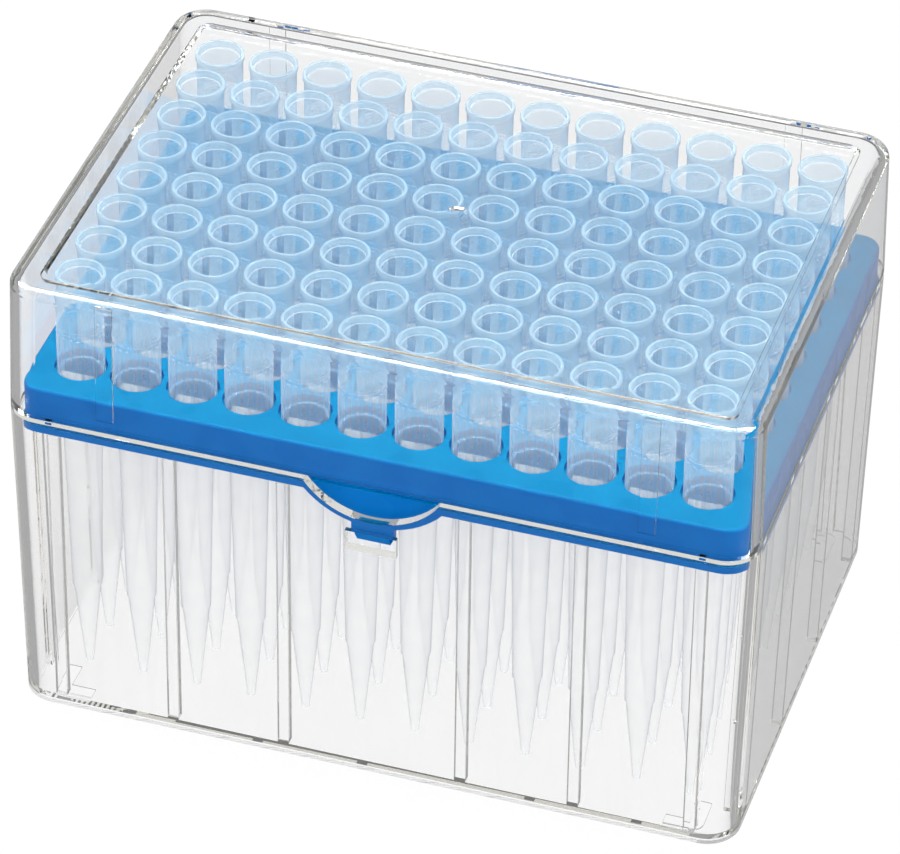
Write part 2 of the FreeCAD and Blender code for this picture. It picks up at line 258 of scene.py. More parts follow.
@dataclass(frozen=True)
class NewMaterial:
    """A new material with the nodes that Blender gives it.

    Attributes:
        material: The material.
        tree: Its node tree.
        shader: Its Principled node.
        output: Its output node.
    """

    material: bpy.types.Material
    tree: Tree
    shader: bpy.types.Node
    output: bpy.types.Node


def new_material(name: str) -> NewMaterial:
    """Makes a material.

    Args:
        name: Its name.

    Returns:
        The material and its first nodes.
    """
    material = bpy.data.materials.new(name)
    material.use_nodes = True
    tree = material.node_tree
    return NewMaterial(material, tree, tree.nodes["Principled BSDF"], tree.nodes["Material Output"])


# ---------------------------------------------------------------- finishes
@dataclass(frozen=True)
class MouldedSurface:
    """Shared effect of moulded plastic: a cloud pattern in the roughness, the tone and the height.

    Attributes:
        smooth: Lowest roughness.
        worn: Highest roughness.
        worn_from: Level of the cloud pattern, from 0 to 1, above which the surface is worn.
        flow: Strength of the change in tone.
        cells: Size of the pattern, as cells per metre.
        wear_contrast: How fast the roughness rises above that level, the same in every material.
        group_name: Name of the shader node group.
    """

    smooth: float = 0.02
    worn: float = 0.1
    worn_from: float = 0.5
    flow: float = 1.0
    cells: float = 60.0
    wear_contrast: float = 3.0
    group_name: str = "moulded_surface"

    def inputs(self) -> dict[str, float]:
        """Returns the group's inputs by name."""
        return {"Smooth": self.smooth, "Worn": self.worn, "From": self.worn_from, "Flow": self.flow,
                "Cells": self.cells}

    def group(self) -> Tree:
        """Builds the shader node group, once.

        Returns:
            A group with an input for each setting and the outputs Roughness, Tone and Height.
        """
        if self.group_name in bpy.data.node_groups:
            return bpy.data.node_groups[self.group_name]
        tree = bpy.data.node_groups.new(self.group_name, "ShaderNodeTree")
        for label, value in MouldedSurface().inputs().items():
            socket = tree.interface.new_socket(name=label, in_out="INPUT", socket_type="NodeSocketFloat")
            socket.default_value = value
        for label in ("Roughness", "Tone", "Height"):
            tree.interface.new_socket(name=label, in_out="OUTPUT", socket_type="NodeSocketFloat")
        given = tree.nodes.new("NodeGroupInput").outputs
        result = tree.nodes.new("NodeGroupOutput").inputs
        cloud = noise(tree, coordinate(tree, "Object"), given["Cells"])

        spread = math_node(tree, "SUBTRACT", given["Worn"], given["Smooth"])
        wear = math_node(tree, "SUBTRACT", cloud, given["From"])
        wear = math_node(tree, "MULTIPLY", wear, self.wear_contrast, clamp=True)
        wear = math_node(tree, "MULTIPLY", wear, spread)
        link(tree, math_node(tree, "ADD", wear, given["Smooth"]), result["Roughness"])

        flow = math_node(tree, "MULTIPLY", math_node(tree, "SUBTRACT", cloud, MIDDLE), given["Flow"])
        link(tree, math_node(tree, "ADD", flow, MIDDLE, clamp=True), result["Tone"])
        link(tree, cloud, result["Height"])
        return tree

    def place(self, made: NewMaterial) -> bpy.types.NodeOutputs:
        """Places the group in a material and feeds its roughness.

        Args:
            made: Material that gets the group.

        Returns:
            The group's outputs.
        """
        node = made.tree.nodes.new("ShaderNodeGroup")
        node.node_tree = self.group()
        for label, value in self.inputs().items():
            node.inputs[label].default_value = value
        link(made.tree, node.outputs["Roughness"], made.shader.inputs["Roughness"])
        return node.outputs


@dataclass(frozen=True)
class ClearPlastic:
    """Clear injection-moulded polystyrene, with a faint tint that shows in its depth.

    Attributes:
        name: Material's name.
        dark: Base colour in the dark parts of the cloud pattern.
        light: Base colour in its light parts.
        gloss_tint: Tint of the specular reflection.
        ior: Index of refraction.
        depth_colour: Colour that the depth gives.
        depth_density: Strength of that colour.
        surface: Values of the moulded surface.
    """

    name: str = "clear_polystyrene"
    dark: Colour = (0.985, 0.985, 0.985)
    light: Colour = WHITE
    gloss_tint: Colour = (0.25, 0.25, 0.25)
    ior: float = 1.59
    depth_colour: Colour = (0.56, 0.55, 0.48)
    depth_density: float = 12.0
    surface: MouldedSurface = MouldedSurface(smooth=0.0, worn=0.04, worn_from=0.66, flow=1.0, cells=70.0)

    def build(self) -> bpy.types.Material:
        """Makes the material.

        Returns:
            The finished material.
        """
        made = new_material(self.name)
        tree, shader = made.tree, made.shader
        surface = self.surface.place(made)
        link(tree, mix_colour(tree, surface["Tone"], self.dark, self.light), shader.inputs["Base Color"])
        feed(tree, shader.inputs["IOR"], self.ior)
        feed(tree, shader.inputs["Specular Tint"], self.gloss_tint)
        feed(tree, shader.inputs["Transmission Weight"], 1.0)
        depth = tree.nodes.new("ShaderNodeVolumeAbsorption")
        feed(tree, depth.inputs["Color"], self.depth_colour)
        feed(tree, depth.inputs["Density"], self.depth_density)
        link(tree, depth.outputs[0], made.output.inputs["Volume"])
        return made.material


@dataclass(frozen=True)
class RackPlastic:
    """Saturated blue, glossy polypropylene, with painted light: level faces get a lighter tint and upright
    faces a deeper one, for how the light falls on them.

    Attributes:
        name: Material's name.
        lit_level_dark: Base colour of level faces in the dark parts of the cloud pattern, with painted
            light from above.
        lit_level_light: Base colour of level faces in its light parts, with painted light from above.
        shaded_upright_dark: Base colour of upright faces in its dark parts, with painted shade.
        shaded_upright_light: Base colour of upright faces in its light parts, with painted shade.
        gloss: Specular level.
        ior: Index of refraction.
        grain: Depth of the bumps, in metres.
        surface: Values of the moulded surface.
    """

    name: str = "rack_polypropylene"
    lit_level_dark: Colour = (0.0, 0.175, 0.39)
    lit_level_light: Colour = (0.0, 0.215, 0.44)
    shaded_upright_dark: Colour = (0.0, 0.125, 0.46)
    shaded_upright_light: Colour = (0.0, 0.16, 0.52)
    gloss: float = 0.04
    ior: float = 1.49
    grain: float = 0.01 * MM
    surface: MouldedSurface = MouldedSurface(smooth=0.25, worn=0.45, worn_from=0.4, flow=1.2, cells=160.0)

    def build(self) -> bpy.types.Material:
        """Makes the material.

        Returns:
            The finished material.
        """
        made = new_material(self.name)
        tree, shader = made.tree, made.shader
        surface = self.surface.place(made)
        level = mix_colour(tree, surface["Tone"], self.lit_level_dark, self.lit_level_light)
        upright = mix_colour(tree, surface["Tone"], self.shaded_upright_dark, self.shaded_upright_light)
        # Painted light: level faces take the lighter level colours and upright faces the deeper, shaded
        # ones, by the square of the normal's Z.
        rise = split(tree, coordinate(tree, "Normal"))["Z"]
        flat = math_node(tree, "MULTIPLY", rise, rise, clamp=True)
        link(tree, mix_colour(tree, flat, upright, level), shader.inputs["Base Color"])
        feed(tree, shader.inputs["IOR"], self.ior)
        feed(tree, shader.inputs["Specular IOR Level"], self.gloss)
        bump = tree.nodes.new("ShaderNodeBump")
        feed(tree, bump.inputs["Strength"], 1.0)
        feed(tree, bump.inputs["Distance"], self.grain)
        link(tree, surface["Height"], bump.inputs["Height"])
        link(tree, bump.outputs["Normal"], shader.inputs["Normal"])
        return made.material


@dataclass(frozen=True)
class TipPlastic:
    """Natural polypropylene in a thin wall: clear, with a milky veil that grows where it turns away.

    Attributes:
        name: Material's name.
        veil_facing: Share of the veil where the wall faces the eye.
        veil_edge: Share of the veil where the wall is seen edge on.
        dark: Veil's colour in the dark flow rings.
        light: Veil's colour in the light flow rings.
        edge: Veil's colour where the wall is seen edge on.
        seen_through: Tint of what shows through, where the wall faces the eye.
        edge_through: Tint of what shows through, where the wall is seen edge on.
        turn_power: How late both change as the wall turns away.
        gloss: Specular level.
        roughness: Roughness of the veil.
        flow_rings: Scale of the flow rings, which lie level around the tip.
        facing_blend: Blend of the layer weight that tells how far the wall turns away.
    """

    name: str
    veil_facing: float
    veil_edge: float
    dark: Colour
    light: Colour
    edge: Colour
    seen_through: Colour
    edge_through: Colour
    turn_power: float = 2.2
    gloss: float = 0.3
    roughness: float = 0.22
    flow_rings: float = 60.0
    facing_blend: float = 0.5

    def build(self) -> bpy.types.Material:
        """Makes the material.

        Returns:
            The finished material.
        """
        made = new_material(self.name)
        tree, shader = made.tree, made.shader
        feed(tree, shader.inputs["Roughness"], self.roughness)
        feed(tree, shader.inputs["Specular IOR Level"], self.gloss)
        rings = tree.nodes.new("ShaderNodeTexWave")
        rings.bands_direction = "Z"
        feed(tree, rings.inputs["Scale"], self.flow_rings)
        link(tree, coordinate(tree, "Object"), rings.inputs["Vector"])
        tone = mix_colour(tree, rings.outputs["Fac"], self.dark, self.light)
        weight = tree.nodes.new("ShaderNodeLayerWeight")
        feed(tree, weight.inputs["Blend"], self.facing_blend)
        turned = math_node(tree, "POWER", weight.outputs["Facing"], self.turn_power)
        link(tree, mix_colour(tree, turned, tone, self.edge), shader.inputs["Base Color"])
        clear = tree.nodes.new("ShaderNodeBsdfTransparent")
        link(tree, mix_colour(tree, turned, self.seen_through, self.edge_through), clear.inputs["Color"])
        growth = math_node(tree, "MULTIPLY", turned, self.veil_edge - self.veil_facing)
        share = math_node(tree, "ADD", growth, self.veil_facing, clamp=True)
        mix_shaders(tree, share, clear.outputs[0], shader.outputs[0], made.output)
        return made.material


# ---------------------------------------------------------------- mesh helpers
def finish_mesh(name: str, points: np.ndarray, faces: list[Face], materials: Sequence[bpy.types.Material],
                body: Body, sharp: float) -> bpy.types.Object:
    """Makes a piece from points and faces.

    Args:
        name: Piece's name.
        points: Corners in metres, in the frame's coordinates.
        faces: Corner numbers of each face.
        materials: Finishes, one for each material slot.
        body: Body that it moves with.
        sharp: Angle in degrees above which an edge stays sharp.

    Returns:
        The new object, riding on its body.
    """
    mesh = bpy.data.meshes.new(name)
    mesh.from_pydata(points.tolist(), [], faces)
    mesh.update()
    mesh.shade_smooth()
    mesh.set_sharp_from_angle(angle=math.radians(sharp))
    for material in materials:
        mesh.materials.append(material)
    piece = bpy.data.objects.new(name, mesh)
    bpy.context.scene.collection.objects.link(piece)
    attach(piece, body.value)
    return piece


# ---------------------------------------------------------------- tips
class TipPart(Enum):
    """Parts of a tip that get finishes of their own, in the order of its material slots."""

    CONE = 0
    COLLAR = 1
    DENSE = 2
    THICK = 3


# Painted light: the blue in the collar's colours, and in the dense finish made from it, stands for the
# blue light that the rack throws into the natural plastic. The cone below the deck stays white.
TIP_COLLAR_BLUE_LIT = TipPlastic("tip_collar", veil_facing=0.28, veil_edge=0.58, dark=(0.48, 0.76, 0.95),
                        light=(0.58, 0.84, 0.99), edge=(0.50, 0.68, 0.88),
                        seen_through=(0.985, 0.992, 1.0), edge_through=(0.88, 0.93, 0.975))
TIP_FINISHES: dict[TipPart, TipPlastic] = {
    TipPart.CONE: TipPlastic("tip_cone", veil_facing=0.28, veil_edge=0.52, dark=(0.96, 0.97, 0.985),
                             light=WHITE, edge=(0.76, 0.78, 0.82), seen_through=WHITE,
                             edge_through=(0.84, 0.85, 0.875), turn_power=2.6),
    TipPart.COLLAR: TIP_COLLAR_BLUE_LIT,
    TipPart.DENSE: replace(TIP_COLLAR_BLUE_LIT, name="tip_dense", veil_facing=0.34, veil_edge=0.61),
    # Painted light: the thick finish's blue is the rack's blue light as well.
    TipPart.THICK: TipPlastic("tip_thick", veil_facing=0.27, veil_edge=0.52, dark=(0.76, 0.89, 0.99),
                              light=(0.86, 0.95, 1.0), edge=(0.66, 0.76, 0.88),
                              seen_through=(0.99, 0.992, 0.995), edge_through=(0.80, 0.84, 0.89)),
}


@dataclass(frozen=True)
class TipRing:
    """One ring of a tip's section.

    Attributes:
        radius: Millimetres from the axis.
        height: Millimetres above the tip's lower end.
        part: Finish of the band from this ring to the next.
        ribbed: The ring has a corner for each side of each rib.
        relief: Share of the ribs' relief that it takes.
    """

    radius: float
    height: float
    part: TipPart = TipPart.COLLAR
    ribbed: bool = False
    relief: float = 0.0


@dataclass(frozen=True)
class Bead:
    """A raised line around a tip's collar, in millimetres.

    Attributes:
        start: Height of its lower edge, from the height at which the double ring is set.
        below: Collar's radius below it.
        crest: Its own radius.
        above: Collar's radius above it.
        flank: Height of each of its slopes.
        flat: Height of its crest.
    """

    start: float
    below: float
    crest: float
    above: float
    flank: float = 0.08
    flat: float = 0.14

    def rings(self, height: float) -> list[TipRing]:
        """Makes the bead's rings.

        Args:
            height: Height at which the double ring is set.

        Returns:
            Its four rings, from the lowest.
        """
        low = height + self.start
        crest_low = low + self.flank
        crest_high = crest_low + self.flat
        return [
            TipRing(self.below, low, TipPart.THICK),
            TipRing(self.crest, crest_low, TipPart.THICK),
            TipRing(self.crest, crest_high, TipPart.THICK),
            TipRing(self.above, crest_high + self.flank),
        ]


@dataclass(frozen=True)
class TipSection:
    """A tip's section, in millimetres, up the outside and into the mouth.

    Below the mouth one skin stands for the thin wall. A drop is measured down from the tip's top.
    """

    length: float = 73.85
    collar_length: float = 17.15

    # Point, cones and neck, from below.
    bore_radius: float = 0.34
    bore_height: float = 0.06
    point_radius: float = 0.50
    flank_radius: float = 0.62
    flank_height: float = 0.10
    step_radius: float = 2.15
    step_height: float = 15.4
    shoulder_radius: float = 2.35
    shoulder_height: float = 15.8
    cone_radius: float = 3.30
    blue_lit_neck_length: float = 6.5

    # Ribbed collar.
    foot_radius: float = 3.48
    rib_low_radius: float = 3.56
    rib_low_slope: float = 0.07
    rib_high_radius: float = 3.59
    rib_high_slope: float = 0.14
    rib_top_drop: float = 9.0
    plain_radius: float = 3.60
    plain_start: float = 0.1

    # Double ring.
    bead_drop: float = 7.75
    beads: tuple[Bead, ...] = (Bead(-0.72, 3.61, 3.70, 3.62), Bead(-0.14, 3.62, 3.72, 3.66))

    # Rim, mouth and the start of the socket.
    flare_radius: float = 3.72
    flare_drop: float = 1.25
    rim_radius: float = 3.93
    rim_drop: float = 0.90
    rim_edge_drop: float = 0.15
    rim_top_radius: float = 3.84
    lip_radius: float = 3.47
    mouth_radius: float = 3.42
    mouth_drop: float = 0.06
    socket_radius: float = 3.30
    socket_drop: float = 1.10
    socket_end_radius: float = 3.10
    socket_end_drop: float = 1.16

    def point_and_cones(self, seat: float) -> list[TipRing]:
        """Makes what hangs below the rack's deck.

        Args:
            seat: Height of the collar's lower end.

        Returns:
            The rings from the point to the collar. The cone's upper end, the neck, has the
            collar's finish, whose blue is painted light from the rack's hole.
        """
        taper = (self.cone_radius - self.shoulder_radius) / (seat - self.shoulder_height)
        return [
            TipRing(self.bore_radius, self.bore_height, TipPart.THICK),
            TipRing(self.point_radius, 0.0, TipPart.THICK),
            TipRing(self.flank_radius, self.flank_height, TipPart.CONE),
            TipRing(self.step_radius, self.step_height, TipPart.CONE),
            TipRing(self.shoulder_radius, self.shoulder_height, TipPart.CONE),
            # Painted light: the neck takes the collar's blue, for the blue light from the rack's hole.
            TipRing(self.cone_radius - taper * self.blue_lit_neck_length, seat - self.blue_lit_neck_length),
            TipRing(self.cone_radius, seat, TipPart.THICK),
        ]

    def ribbed_collar(self, seat: float) -> list[TipRing]:
        """Makes the collar's lower part.

        Args:
            seat: Height of the collar's lower end.

        Returns:
            The rings from that end to just above the ribs.
        """
        top = self.length - self.rib_top_drop
        return [
            TipRing(self.foot_radius, seat, TipPart.THICK, True),
            TipRing(self.rib_low_radius, seat + self.rib_low_slope, TipPart.DENSE, True, 1.0),
            TipRing(self.rib_high_radius, top - self.rib_high_slope, TipPart.THICK, True, 1.0),
            TipRing(self.plain_radius, top, TipPart.COLLAR, True),
            TipRing(self.plain_radius, top + self.plain_start),
        ]

    def rim_and_mouth(self) -> list[TipRing]:
        """Makes the upper end.

        Returns:
            The rings from below the rim, over its top, to the start of the socket.
        """
        top = self.length
        return [
            TipRing(self.flare_radius, top - self.flare_drop, TipPart.DENSE),
            TipRing(self.rim_radius, top - self.rim_drop, TipPart.DENSE),
            TipRing(self.rim_radius, top - self.rim_edge_drop, TipPart.THICK),
            TipRing(self.rim_top_radius, top, TipPart.DENSE),
            TipRing(self.lip_radius, top, TipPart.THICK),
            TipRing(self.mouth_radius, top - self.mouth_drop),
            TipRing(self.socket_radius, top - self.socket_drop, TipPart.THICK),
            TipRing(self.socket_end_radius, top - self.socket_end_drop),
        ]

    def rings(self) -> list[TipRing]:
        """Makes the whole section.

        Returns:
            Its rings, in order.
        """
        seat = self.length - self.collar_length
        rings = self.point_and_cones(seat) + self.ribbed_collar(seat)
        for bead in self.beads:
            rings += bead.rings(self.length - self.bead_drop)
        return rings + self.rim_and_mouth()


@dataclass
class Tips:
    """All pipette tips, with ribbed collars, as one piece for each half column.

    Attributes:
        finishes: Material of each part.
        section: Section of a tip.
        pitch: Millimetres from tip to tip.
        ribs: Ribs around a collar.
        rib_share: Share of the ribs' spacing that a rib's crest takes.
        rib_slope: Share of the ribs' spacing that each side of a rib takes.
        rib_relief: Height of the ribs, in millimetres.
        sharp: Angle in degrees above which an edge stays sharp.
        seed: Start of the random turns.
        nodes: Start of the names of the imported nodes.
    """

    finishes: dict[TipPart, bpy.types.Material]
    section: TipSection = TipSection()
    pitch: float = 9.0
    ribs: int = 18
    rib_share: float = 0.46
    rib_slope: float = 0.06
    rib_relief: float = 0.14
    sharp: float = 40.0
    seed: int = 7
    nodes: str = "tips_column"

    def pattern(self, ribbed: bool) -> list[tuple[float, bool]]:
        """Lists the corners of one rib and the gap after it.

        Args:
            ribbed: The ring is ribbed, and has five corners to each rib. A plain one has two.

        Returns:
            The angle of each corner from the rib's middle, and whether it lies on the crest.
        """
        step = 2 * math.pi / self.ribs
        if not ribbed:
            return [(0.0, False), (step / 2, False)]
        crest = step * self.rib_share / 2
        foot = crest + step * self.rib_slope
        return [(-foot, False), (-crest, True), (crest, True), (foot, False), (step / 2, False)]

    def ring_points(self, ring: TipRing, turn: float) -> list[Point]:
        """Places a ring's corners.

        Args:
            ring: Ring of the section.
            turn: Rotation about the tip's axis, in radians.

        Returns:
            The corners in millimetres.
        """
        points = []
        for rib in range(self.ribs):
            for offset, raised in self.pattern(ring.ribbed):
                angle = rib * 2 * math.pi / self.ribs + offset + turn
                reach = ring.radius + self.rib_relief * ring.relief * raised
                points.append((reach * math.cos(angle), reach * math.sin(angle), ring.height))
        return points

    def band(self, low: list[int], high: list[int]) -> list[Face]:
        """Joins two rings with faces.

        Args:
            low: Corner numbers of the lower ring.
            high: Corner numbers of the upper ring.

        Returns:
            Faces as tuples of corner numbers. Where only one ring is ribbed, each face takes the two
            or three stretches of that ring which lie over one stretch of the plain ring.
        """
        if len(low) == len(high):
            count = len(low)
            return [(low[i], low[(i + 1) % count], high[(i + 1) % count], high[i]) for i in range(count)]
        if len(low) < len(high):
            return [tuple(reversed(face)) for face in self.band(high, low)]
        many, few = len(low), len(high)
        crest_end, gap_middle, next_crest_end = 2, 4, 7
        faces = []
        for rib in range(self.ribs):
            first = rib * many // self.ribs
            near_half = [low[(first + k) % many] for k in range(crest_end, gap_middle + 1)]
            far_half = [low[(first + k) % many] for k in range(gap_middle, next_crest_end + 1)]
            faces.append((*near_half, high[(2 * rib + 1) % few], high[2 * rib]))
            faces.append((*far_half, high[(2 * rib + 2) % few], high[(2 * rib + 1) % few]))
        return faces

    def band_parts(self, ring: TipRing, count: int) -> list[int]:
        """Picks the finish of each face of a band.

        Args:
            ring: The band's lower ring.
            count: Number of its faces.

        Returns:
            Material slots. The ribs on a dense band are thick: their two sides and their crest.
        """
        if ring.part is not TipPart.DENSE or ring.relief == 0:
            return [ring.part.value] * count
        corners, rib_faces = len(self.pattern(True)), 3
        return [(TipPart.THICK if k % corners < rib_faces else ring.part).value for k in range(count)]

    def one_tip(self, turn: float) -> tuple[np.ndarray, list[Face], list[int]]:
        """Builds one tip that stands on the origin.

        Args:
            turn: Rotation about its own axis, in radians.

        Returns:
            Its corners in metres, its faces and each face's material slot.
        """
        rings = self.section.rings()
        points, numbers = [], []
        for ring in rings:
            corners = self.ring_points(ring, turn)
            numbers.append(list(range(len(points), len(points) + len(corners))))
            points += corners
        faces, parts = [], []
        for ring, low, high in zip(rings, numbers, numbers[1:]):
            made = self.band(low, high)
            faces += made
            parts += self.band_parts(ring, len(made))
        return np.array(points) * MM, faces, parts

    def half_column(self, node: str, random: np.random.Generator) -> bpy.types.Object:
        """Makes one half column in place of its plain solids.

        Args:
            node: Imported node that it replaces.
            random: Source of the tips' turns.

        Returns:
            The new piece. It casts no shadow, so that light reaches what stands behind it.
        """
        low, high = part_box(node)
        rim = self.section.rim_radius * MM
        pitch = self.pitch * MM
        count = round((high.y - low.y - 2 * rim) / pitch) + 1
        points, faces, parts = [], [], []
        for index in range(count):
            tip, tip_faces, tip_parts = self.one_tip(random.uniform(0, 2 * math.pi))
            start = index * len(tip)
            points.append(tip + np.array([(low.x + high.x) / 2, low.y + rim + index * pitch, low.z]))
            faces += [tuple(corner + start for corner in face) for face in tip_faces]
            parts += tip_parts
        materials = [self.finishes[part] for part in TipPart]
        piece = finish_mesh(f"moulded_{node}", np.concatenate(points), faces, materials, Body.BOX,
                            self.sharp)
        piece.data.polygons.foreach_set("material_index", parts)
        piece.visible_shadow = False
        piece.visible_diffuse = False
        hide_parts(node)
        log.info("%s: %d tips", piece.name, count)
        return piece

    def build(self) -> list[bpy.types.Object]:
        """Makes every half column.

        Returns:
            The pieces, in the order of their nodes' names.
        """
        random = np.random.default_rng(self.seed)
        nodes = sorted(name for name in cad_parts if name.startswith(self.nodes))
        return [self.half_column(node, random) for node in nodes]


# ---------------------------------------------------------------- base, rack and lid
@dataclass
class Housing:
    """Base, rack and lid, which keep their solids and get their finishes."""

    clear: bpy.types.Material
    blue: bpy.types.Material
    clear_nodes: tuple[str, ...] = ("base", "lid")
    blue_nodes: tuple[str, ...] = ("rack",)

    def dress(self, node: str, material: bpy.types.Material) -> None:
        """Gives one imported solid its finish.

        Args:
            node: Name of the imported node.
            material: Its finish.
        """
        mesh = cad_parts[node].data
        mesh.materials.clear()
        mesh.materials.append(material)
        log.info("%s: %s", node, material.name)

    def build(self) -> None:
        """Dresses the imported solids. The clear ones cast no shadow on what they hold."""
        for node in self.clear_nodes:
            self.dress(node, self.clear)
            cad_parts[node].visible_shadow = False
        for node in self.blue_nodes:
            self.dress(node, self.blue)


# ---------------------------------------------------------------- studio
@dataclass(frozen=True)
class Lamp:
    """A soft, rectangular lamp.

    Attributes:
        name: Its name.
        place: Its middle, in metres.
        aim: Point that it faces, in metres.
        size: Its two sides, in metres.
        power: Its power, in watts.
    """

    name: str = "overhead"
    place: Point = (0.0, 0.10, 1.2)
    aim: Point = (0.0, 0.0, 0.04)
    size: tuple[float, float] = (0.9, 0.22)
    power: float = 7.0

    def build(self) -> bpy.types.Object:
        """Adds the lamp to the scene.

        Returns:
            The lamp's object.
        """
        data = bpy.data.lights.new(self.name, "AREA")
        data.shape = "RECTANGLE"
        data.size, data.size_y = self.size
        data.energy = self.power
        lamp = bpy.data.objects.new(self.name, data)
        lamp.location = self.place
        lamp.rotation_euler = (Vector(self.aim) - Vector(self.place)).to_track_quat("-Z", "Y").to_euler()
        bpy.context.scene.collection.objects.link(lamp)
        return lamp


@dataclass
class Camera:
    """The scene's camera.

    Attributes:
        eye: Its place, in metres.
        azimuth: Degrees to the right of the front from which it looks.
        elevation: Degrees that it looks down.
        roll: Degrees that it leans.
        focal_share: Focal length as a share of the sensor's width.
        shift: Shift of the lens, as shares of the sensor's width.
        sensor: Sensor's width, in millimetres.
        clip: Nearest and farthest distance that it shows, in metres.
    """

    eye: Vector = field(default_factory=lambda: Vector((212.70, -695.27, 590.68)) * MM)
    azimuth: float = 16.490
    elevation: float = 37.428
    roll: float = 1.354
    focal_share: float = 5825.12 / 900.0
    shift: tuple[float, float] = (-0.04999, 0.01917)
    sensor: float = 36.0
    clip: tuple[float, float] = (0.01, 20.0)

    def turn(self) -> Matrix:
        """Works out how the camera stands.

        Returns:
            Its rotation, as a matrix of three rows.
        """
        azimuth, elevation, roll = (math.radians(v) for v in (self.azimuth, self.elevation, self.roll))
        forward = Vector((-math.sin(azimuth) * math.cos(elevation),
                          math.cos(azimuth) * math.cos(elevation), -math.sin(elevation)))
        right = forward.cross(Vector((0, 0, 1))).normalized()
        up = right.cross(forward)
        right_rolled = right * math.cos(roll) + up * math.sin(roll)
        up_rolled = up * math.cos(roll) - right * math.sin(roll)
        return Matrix((right_rolled, up_rolled, -forward)).transposed()

    def build(self) -> bpy.types.Object:
        """Adds the camera and makes it the scene's.

        Returns:
            The camera's object.
        """
        data = bpy.data.cameras.new("camera")
        data.sensor_width = self.sensor
        data.lens = self.focal_share * self.sensor
        data.shift_x, data.shift_y = self.shift
        data.clip_start, data.clip_end = self.clip
        camera = bpy.data.objects.new("camera", data)
        camera.matrix_world = Matrix.Translation(self.eye) @ self.turn().to_4x4()
        bpy.context.scene.collection.objects.link(camera)
        bpy.context.scene.camera = camera
        return camera


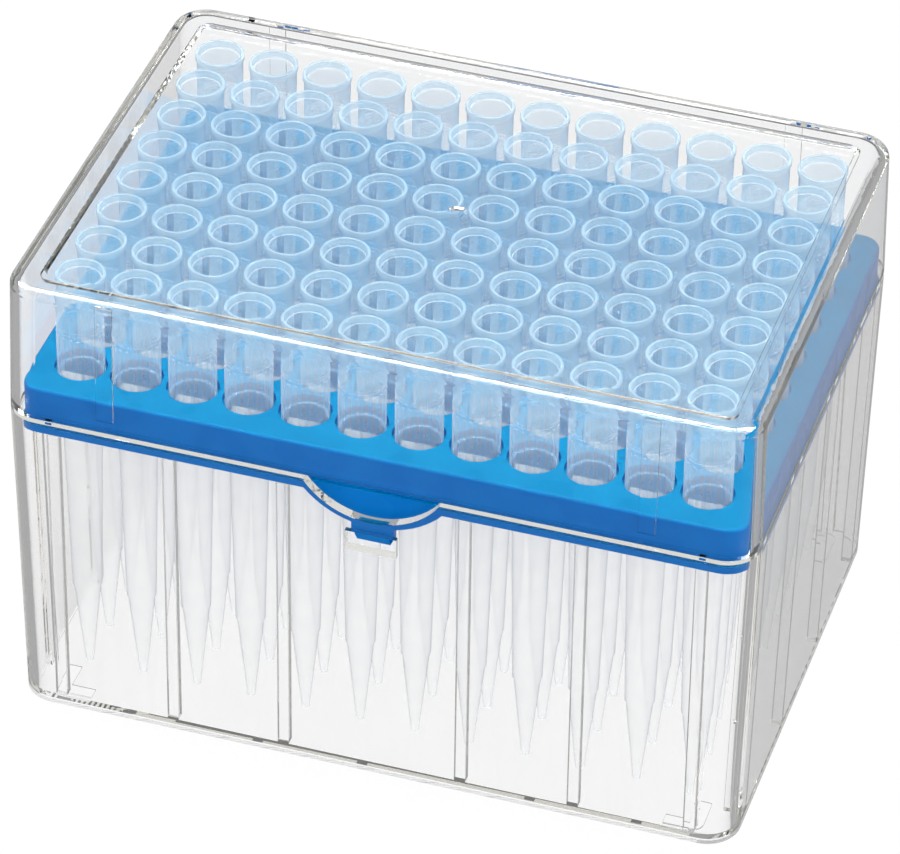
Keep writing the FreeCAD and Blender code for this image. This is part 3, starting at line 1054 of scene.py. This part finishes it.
@dataclass
class Studio:
    """Floor, world, lamp and camera.

    Attributes:
        floor_half: Half of the floor's side, in metres.
        floor_dark: Darker tone of the floor's paint.
        floor_light: Lighter tone of the floor's paint.
        floor_cells: Size of the change between them, as cells per metre.
        floor_roughness: Roughness of the paint.
        floor_glow: Share of an even white in the floor where it is seen and doesn't light.
        horizon: Dome's light, at and below dome_from.
        zenith: Dome's light, at and above dome_to.
        dome_from: Height on the dome, from 0 to 1, at which the horizon's light ends.
        dome_to: Height on the dome at which the zenith's light starts.
        ceiling: What is seen overhead, at and above surround_to. It is white below surround_from.
        surround_from: Height on the dome at which the white ends.
        surround_to: Height on the dome at which the ceiling starts.
        band_slant: Lean of the highlight band from overhead, as Y for each Z.
        band_half: Half of the band's width.
        band_lowest: Lowest height of the band on the dome.
        band_strength: Brightness that the band adds.
        dim_reflections: Number of reflections from which on the studio looks bright again.
        dim_level: How bright it looks by way of fewer, but at least one.
        path_bounces: Bounces in all, and by gloss or through clear plastic.
        transparent_bounces: Bounces through the tips' walls.
        diffuse_bounces: Bounces off matt surfaces.
    """

    floor_half: float = 6.0
    floor_dark: Colour = (0.93, 0.93, 0.93)
    floor_light: Colour = (0.95, 0.95, 0.95)
    floor_cells: float = 3.0
    floor_roughness: float = 0.9
    floor_glow: float = 0.94
    horizon: Colour = (1.5, 1.5, 1.5)
    zenith: Colour = (0.8, 0.8, 0.8)
    dome_from: float = 0.05
    dome_to: float = 0.65
    ceiling: Colour = (0.30, 0.30, 0.32)
    surround_from: float = 0.15
    surround_to: float = 0.45
    band_slant: float = 0.08
    band_half: float = 0.22
    band_lowest: float = 0.55
    band_strength: float = 60.0
    dim_reflections: float = 5.0
    dim_level: float = 0.36
    path_bounces: int = 128
    transparent_bounces: int = 16
    diffuse_bounces: int = 2

    def seen_directly(self, tree: Tree) -> Socket:
        """Tells rays that see from rays that light.

        Args:
            tree: Node tree that gets the nodes.

        Returns:
            1 for rays from the camera, also by way of gloss or clear plastic, and 0 for light.
        """
        path = tree.nodes.new("ShaderNodeLightPath").outputs
        direct = math_node(tree, "MAXIMUM", path["Is Camera Ray"], path["Is Glossy Ray"])
        return math_node(tree, "MAXIMUM", direct, path["Is Transmission Ray"], clamp=True)

    def reflected_level(self, tree: Tree) -> Socket:
        """Dims the studio for rays that were reflected a few times.

        Args:
            tree: Node tree that gets the nodes.

        Returns:
            dim_level from the first reflection to the one before dim_reflections, and 1 for the
            others.
        """
        depth = tree.nodes.new("ShaderNodeLightPath").outputs["Glossy Depth"]
        centre = self.dim_reflections / 2
        few = near(tree, depth, centre, centre - MIDDLE)
        return math_node(tree, "SUBTRACT", 1.0, math_node(tree, "MULTIPLY", few, 1.0 - self.dim_level))

    def before_diffuse(self, tree: Tree) -> Socket:
        """Returns 1 for rays that haven't yet left a matt surface, and 0 for the others."""
        path = tree.nodes.new("ShaderNodeLightPath")
        return math_node(tree, "LESS_THAN", path.outputs["Diffuse Depth"], MIDDLE)

    def floor(self) -> bpy.types.Object:
        """Adds the pale floor.

        Returns:
            The floor's object.
        """
        made = new_material("floor_paint")
        tree, shader = made.tree, made.shader
        feed(tree, shader.inputs["Roughness"], self.floor_roughness)
        feed(tree, shader.inputs["Specular IOR Level"], 0.0)
        cloud = noise(tree, coordinate(tree, "Object"), self.floor_cells)
        link(tree, mix_colour(tree, cloud, self.floor_dark, self.floor_light), shader.inputs["Base Color"])
        glow = tree.nodes.new("ShaderNodeEmission")
        link(tree, self.reflected_level(tree), glow.inputs["Strength"])
        share = math_node(tree, "MULTIPLY", self.seen_directly(tree), self.floor_glow)
        mix_shaders(tree, share, shader.outputs[0], glow.outputs[0], made.output)

        half = self.floor_half
        mesh = bpy.data.meshes.new("floor")
        mesh.from_pydata([(-half, -half, 0), (half, -half, 0), (half, half, 0), (-half, half, 0)], [],
                         [(0, 1, 2, 3)])
        mesh.materials.append(made.material)
        floor = bpy.data.objects.new("floor", mesh)
        bpy.context.scene.collection.objects.link(floor)
        return floor

    def band(self, tree: Tree, across: Socket, height: Socket) -> Socket:
        """Makes the band overhead that gives the long highlights.

        Args:
            tree: World's node tree.
            across: The direction's Y.
            height: The direction's Z.

        Returns:
            1 in the band for glossy rays that haven't yet left a matt surface, and 0 elsewhere, so
            that the band lights nothing.
        """
        slant = math_node(tree, "MULTIPLY", height, self.band_slant)
        inside = near(tree, across, slant, self.band_half)
        high = math_node(tree, "GREATER_THAN", height, self.band_lowest)
        glossy = tree.nodes.new("ShaderNodeLightPath").outputs["Is Glossy Ray"]
        reflected = math_node(tree, "MULTIPLY", glossy, self.before_diffuse(tree))
        return math_node(tree, "MULTIPLY", math_node(tree, "MULTIPLY", inside, high), reflected)

    def world(self) -> None:
        """Sets the world.

        It lights as a dome that is brightest near the horizon. To the eye it is white near the
        horizon with a dark ceiling, and a bright band overhead shows in reflections.
        """
        world = bpy.data.worlds.new("studio")
        world.use_nodes = True
        bpy.context.scene.world = world
        world.cycles.sampling_method = "NONE"
        tree = world.node_tree
        background = tree.nodes["Background"]
        direction = split(tree, coordinate(tree, "Generated"))
        dome = ramp(tree, direction["Z"], RampEnd(self.dome_from, self.horizon),
                    RampEnd(self.dome_to, self.zenith), "EASE")
        surround = ramp(tree, direction["Z"], RampEnd(self.surround_from, WHITE),
                        RampEnd(self.surround_to, self.ceiling))
        seen = mix_colour(tree, 1.0, surround, self.reflected_level(tree), "MULTIPLY")
        direct = math_node(tree, "MULTIPLY", self.seen_directly(tree), self.before_diffuse(tree))
        shown = mix_colour(tree, direct, dome, seen)
        band = self.band(tree, direction["Y"], direction["Z"])
        link(tree, mix_colour(tree, band, shown, WHITE), background.inputs["Color"])
        strength = math_node(tree, "MULTIPLY", band, self.band_strength)
        link(tree, math_node(tree, "ADD", strength, 1.0), background.inputs["Strength"])

    def paths(self) -> None:
        """Sets how far light is followed.

        Light is piped along the clear walls many times before it leaves, and fewer bounces leave
        black lines.
        """
        cycles = bpy.context.scene.cycles
        cycles.use_light_tree = False
        cycles.max_bounces = self.path_bounces
        cycles.transmission_bounces = self.path_bounces
        cycles.glossy_bounces = self.path_bounces
        cycles.transparent_max_bounces = self.transparent_bounces
        cycles.diffuse_bounces = self.diffuse_bounces
        cycles.blur_glossy = 0.0

    def build(self) -> None:
        """Adds everything that isn't part of the object."""
        Camera().build()
        self.floor()
        self.world()
        Lamp().build()
        self.paths()


def main() -> None:
    """Builds the studio and every piece in order."""
    bpy.context.scene.view_settings.view_transform = "Standard"
    Studio().build()
    Housing(ClearPlastic().build(), RackPlastic().build()).build()
    Tips({part: finish.build() for part, finish in TIP_FINISHES.items()}).build()


if __name__ == "__main__":
    main()
